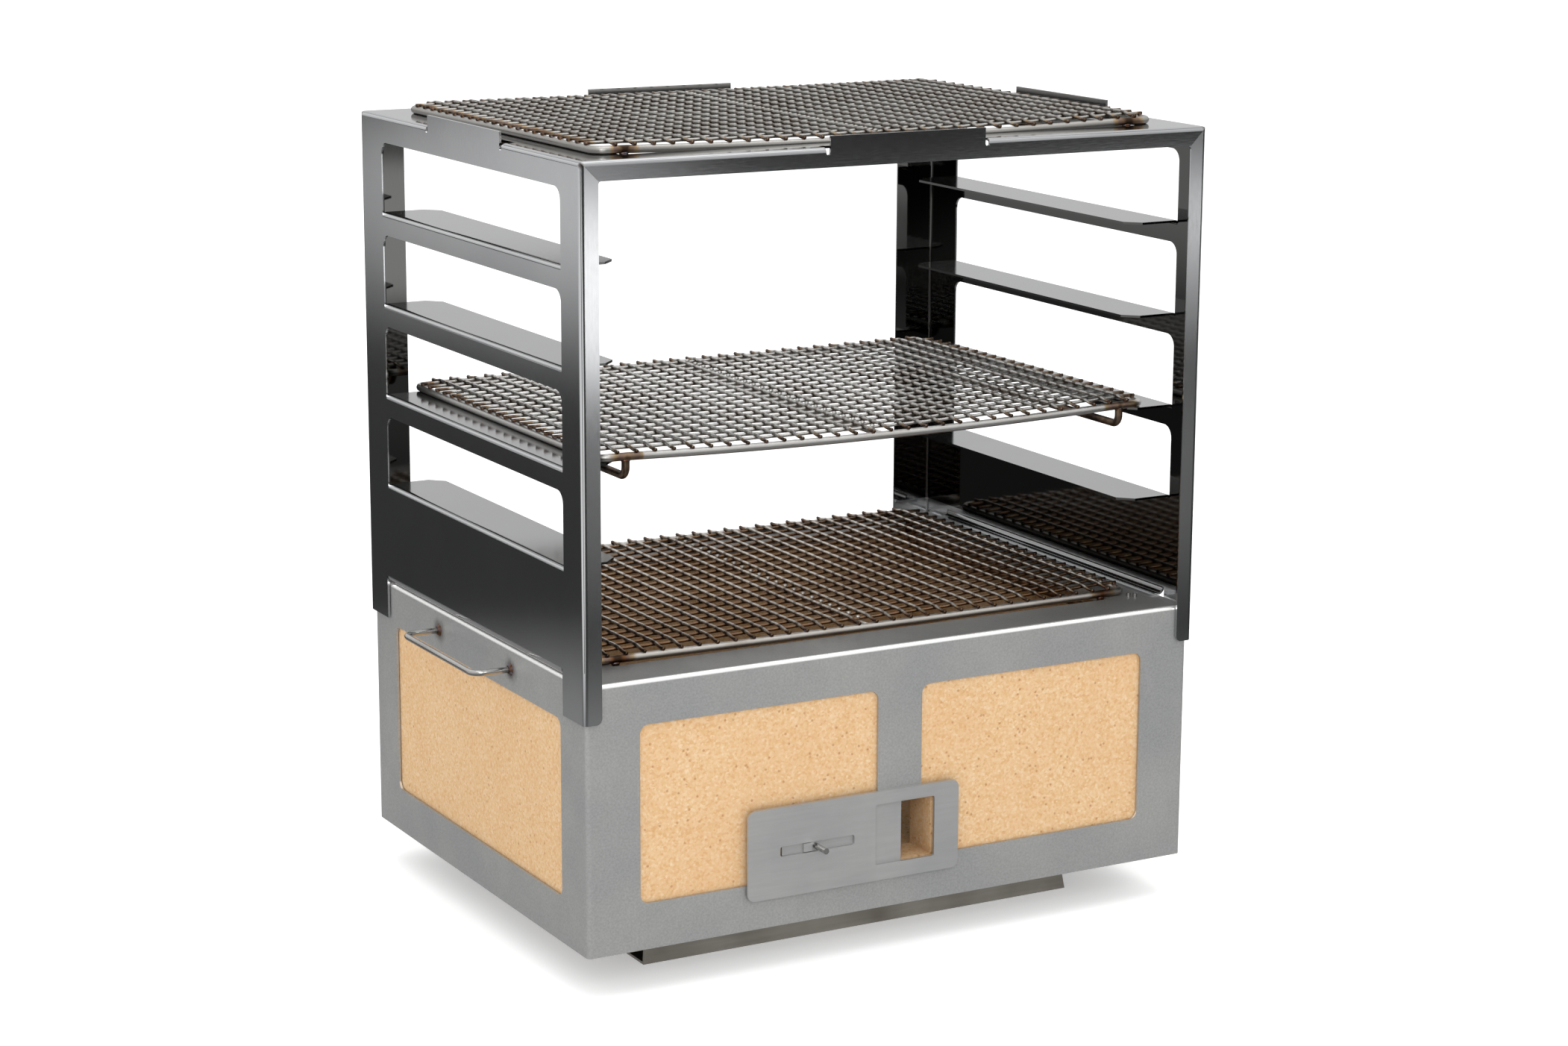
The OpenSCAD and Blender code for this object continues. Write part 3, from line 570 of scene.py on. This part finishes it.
# What the bright steel sees below it: a dark table with pale cards lying on it, which give
# the rack its grey-to-black gradients. Each card is (x, y, reach, softness, light) in metres.
CARDS = [(0.0, 0.0, 0.6, 0.5, 0.3), (-5.0, 2.5, 3.05, 1.1, 0.78), (-3.0, -0.8, 1.9, 0.6, 1.0),
         (0.95, -3.0, 0.72, 0.4, 1.8), (1.6, -4.3, 0.2, 0.3, 0.6), (0.7, -1.6, 0.35, 0.75, 0.18),
         (2.0, -2.6, 0.4, 0.5, 0.4), (2.65, -2.9, 0.4, 0.7, 1.1), (3.2, 1.6, 1.2, 1.4, 0.7)]
TABLE_TONE = 0.045
table, tree, shader, place = begin("studio_table_dark")
tone = TABLE_TONE
for x, y, reach, softness, light in CARDS:
    away = add(tree, "VectorMath", {0: place, 1: (x, y, 0.0)}, "Value", operation="DISTANCE")
    card = add(tree, "MapRange", {0: away, 1: reach + softness, 2: reach, 3: 0.0, 4: light},
               interpolation_type="SMOOTHSTEP")
    tone = add(tree, "Math", {0: card, 1: tone}, operation="MAXIMUM")
glow = add(tree, "Emission", {"Strength": tone})
feed(tree, tree.nodes["Material Output"], {"Surface": glow})
mirror_table = stage_plane("studio_table_seen_in_steel", -0.5 * MM, table)
mirror_table.visible_camera = False
mirror_table.visible_diffuse = False
mirror_table.visible_shadow = False

world = bpy.data.worlds.new("studio_white")
world.use_nodes = True
bpy.context.scene.world = world
tree = world.node_tree
up = add(tree, "SeparateXYZ", {0: add(tree, "TexCoord", {}, "Generated")}, 2)
share = add(tree, "MapRange", {0: up, 1: -0.1, 2: 1.0})
sky = add(tree, "ValToRGB", {0: share}, stops=[
    (0.0, "#9a9a9a"), (0.12, "#c8c8c8"), (0.35, "#e6e6e6"), (0.7, "#ffffff")])
feed(tree, tree.nodes["Background"], {"Color": sky, "Strength": 1.1})


def softbox(name, place, aim, size, power):
    """A rectangular soft light at place, pointing at aim."""
    data = bpy.data.lights.new(name, "AREA")
    data.shape = "RECTANGLE"
    data.size, data.size_y = size
    data.energy = power
    lamp = bpy.data.objects.new(name, data)
    lamp.location = place
    lamp.rotation_euler = (Vector(aim) - Vector(place)).to_track_quat("-Z", "Y").to_euler()
    bpy.context.scene.collection.objects.link(lamp)
    return lamp


softbox("softbox_top", (0.1, -0.3, 2.4), (0, 0, 0.2), (2.2, 1.6), 14)
softbox("softbox_front_left", (-1.0, -2.1, 1.3), (-0.1, 0, 0.15), (1.0, 1.0), 14)

# The camera looks to the right of +Y and down, and is turned a little about its own axis.
CAMERA_PLACE = Vector((-1.069, -1.9274, 0.7397))
AZIMUTH, DOWN, ROLL = (math.radians(a) for a in (29.09, 12.60, 0.26))
forward = Vector((math.sin(AZIMUTH) * math.cos(DOWN), math.cos(AZIMUTH) * math.cos(DOWN),
                  -math.sin(DOWN)))
right = Vector((math.cos(AZIMUTH), -math.sin(AZIMUTH), 0.0))
upward = right.cross(forward)
turned = Matrix((right, upward, -forward)).transposed() @ Matrix.Rotation(ROLL, 3, "Z")
lens = bpy.data.cameras.new("camera")
lens.lens = 77.86
lens.sensor_width = 36.0
lens.clip_end = 100
camera = bpy.data.objects.new("camera", lens)
camera.matrix_world = Matrix.Translation(CAMERA_PLACE) @ turned.to_4x4()
bpy.context.scene.collection.objects.link(camera)
bpy.context.scene.camera = camera
bpy.context.scene.view_settings.view_transform = "Standard"
